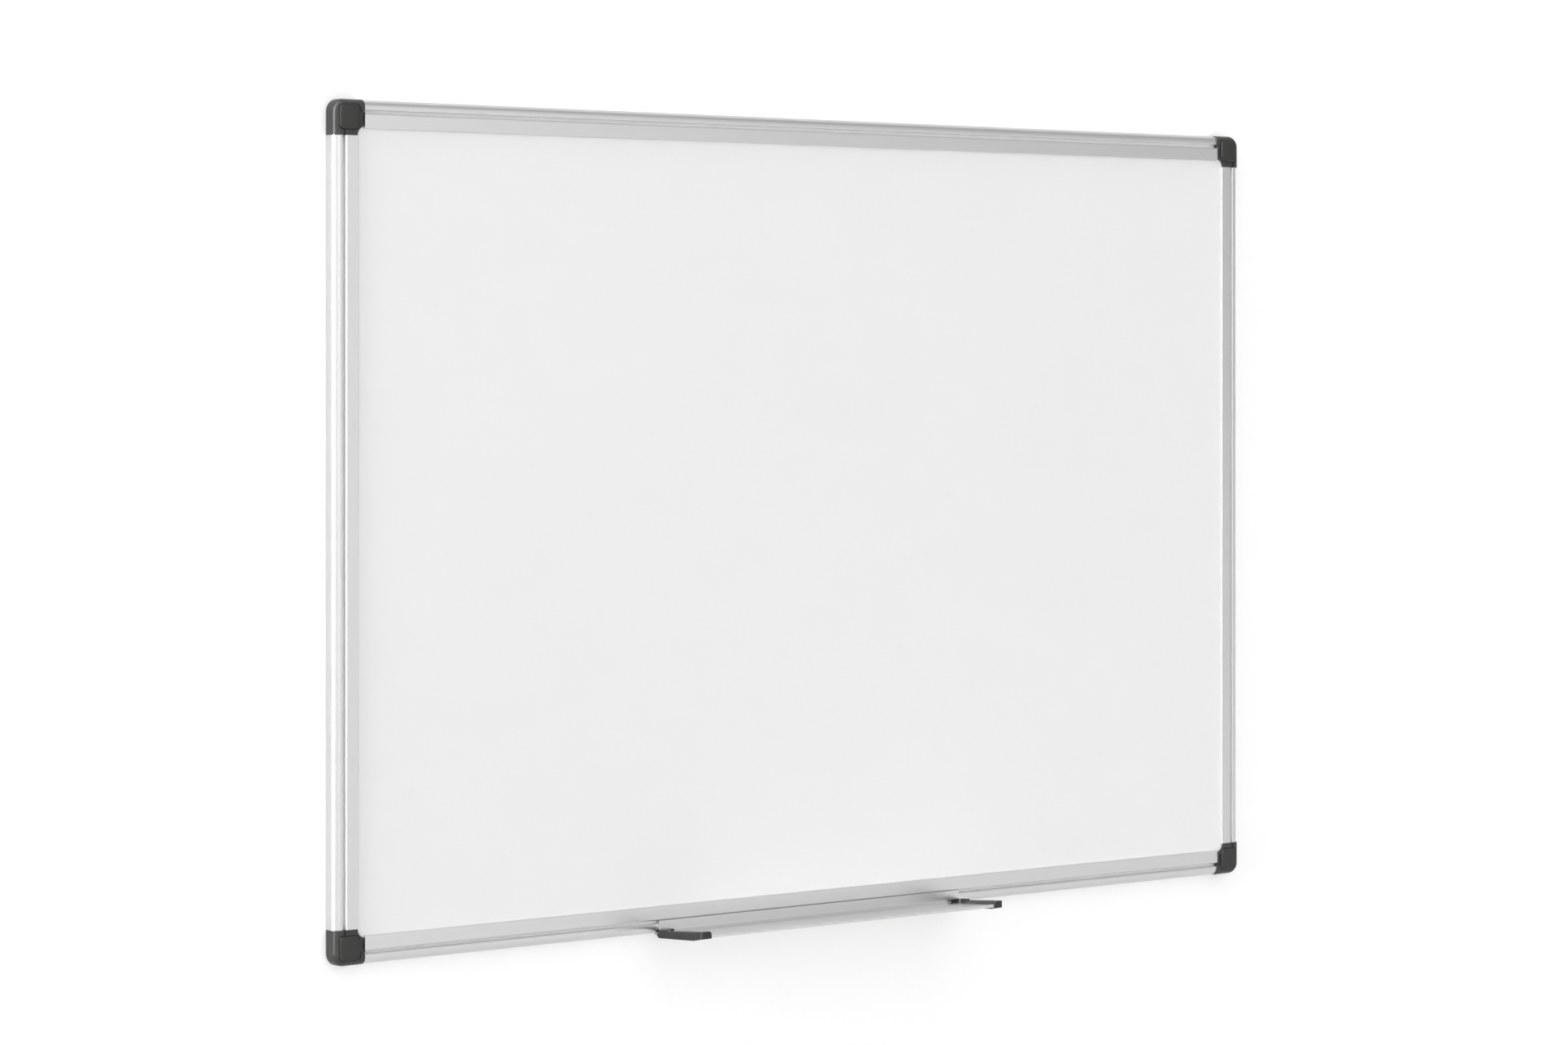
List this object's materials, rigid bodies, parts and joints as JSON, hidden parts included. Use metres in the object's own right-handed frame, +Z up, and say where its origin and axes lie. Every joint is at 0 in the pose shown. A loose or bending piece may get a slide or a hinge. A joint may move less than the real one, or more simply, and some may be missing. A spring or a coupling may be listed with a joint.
{
  "type": "magnetic whiteboard",
  "caption": "Wall-hung magnetic whiteboard with an aluminium frame, plastic corner pieces that hide the wall screws, and a sliding pen tray.",
  "frame": {"origin": "centre of the four wall-screw holes, on the wall plane", "axes": "+X to the right as seen from the room, +Z up, -Y out of the wall towards the room"},
  "size_m": [0.9004, 0.0608, 0.6035],
  "materials": {
    "lacquered_steel": "smooth white lacquer, glossy enough to wipe dry",
    "core_board": "raw fibreboard",
    "zinc_coated_steel": "dull zinc coating",
    "anodised_aluminium": "satin silver anodising with fine draw lines",
    "grey_plastic": "dark grey moulded plastic, fine satin texture",
    "cap_plastic": "dark grey moulded plastic, smooth satin",
    "zinc_plated_screw": "bright zinc plating"
  },
  "bodies": {
    "frame": {"writing_sheet": "lacquered_steel", "board_core": "core_board", "back_sheet": "zinc_coated_steel", "rail_top": "anodised_aluminium", "rail_bottom": "anodised_aluminium", "rail_left": "anodised_aluminium", "rail_right": "anodised_aluminium", "corner_bottom_left": "grey_plastic", "corner_bottom_right": "grey_plastic", "corner_top_left": "grey_plastic", "corner_top_right": "grey_plastic", "frame_screws_bottom": "zinc_plated_screw", "frame_screws_top": "zinc_plated_screw"},
    "tray": {"pen_tray": "anodised_aluminium", "tray_end_left": "grey_plastic", "tray_end_right": "grey_plastic"},
    "cap_bottom_left": {"screw_cap_bottom_left": "cap_plastic"},
    "cap_bottom_right": {"screw_cap_bottom_right": "cap_plastic"},
    "cap_top_left": {"screw_cap_top_left": "cap_plastic"},
    "cap_top_right": {"screw_cap_top_right": "cap_plastic"}
  },
  "joints": [
    {"name": "tray_slide", "type": "slide", "parent": "frame", "child": "tray", "axis": [1, 0, 0], "range_m": [-0.261, 0.285]},
    {"name": "cap_bottom_left_pull", "type": "slide", "parent": "frame", "child": "cap_bottom_left", "axis": [0, -1, 0], "range_m": [0, 0.02]},
    {"name": "cap_bottom_right_pull", "type": "slide", "parent": "frame", "child": "cap_bottom_right", "axis": [0, -1, 0], "range_m": [0, 0.02]},
    {"name": "cap_top_left_pull", "type": "slide", "parent": "frame", "child": "cap_top_left", "axis": [0, -1, 0], "range_m": [0, 0.02]},
    {"name": "cap_top_right_pull", "type": "slide", "parent": "frame", "child": "cap_top_right", "axis": [0, -1, 0], "range_m": [0, 0.02]}
  ]
}
